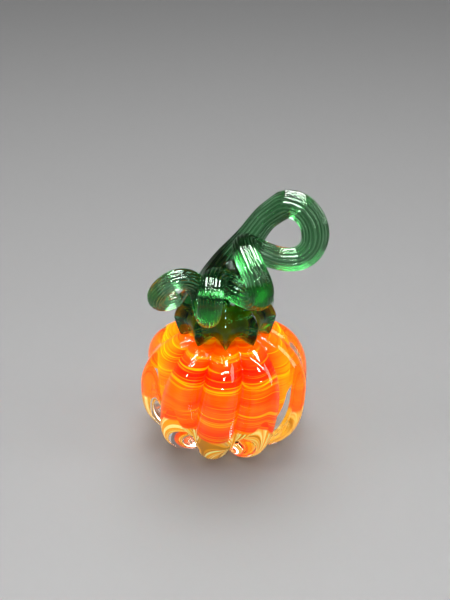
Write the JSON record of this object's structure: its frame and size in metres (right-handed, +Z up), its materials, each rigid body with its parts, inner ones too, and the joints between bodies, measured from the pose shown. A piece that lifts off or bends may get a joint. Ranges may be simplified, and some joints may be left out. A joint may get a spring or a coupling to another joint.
{
  "type": "glass pumpkin",
  "caption": "Solid glass pumpkin ornament: a clear lobed casing over an orange swirled core, with a green star cap, leaning stem and coiled tendril.",
  "frame": {"origin": "centre of the flat base, on the surface that the pumpkin stands on", "axes": "+Z up, -Y towards the front that the picture shows, +X to the right"},
  "size_m": [0.0848, 0.0806, 0.1236],
  "materials": {
    "clear_glass": "clear fire-polished glass",
    "orange_glass": "opaque orange glass with red and yellow wound threads",
    "green_glass": "transparent green ribbed glass, fire-polished"
  },
  "bodies": {
    "root": {"clear_casing": "clear_glass", "color_core": "orange_glass", "green_stem": "green_glass"}
  },
  "joints": []
}
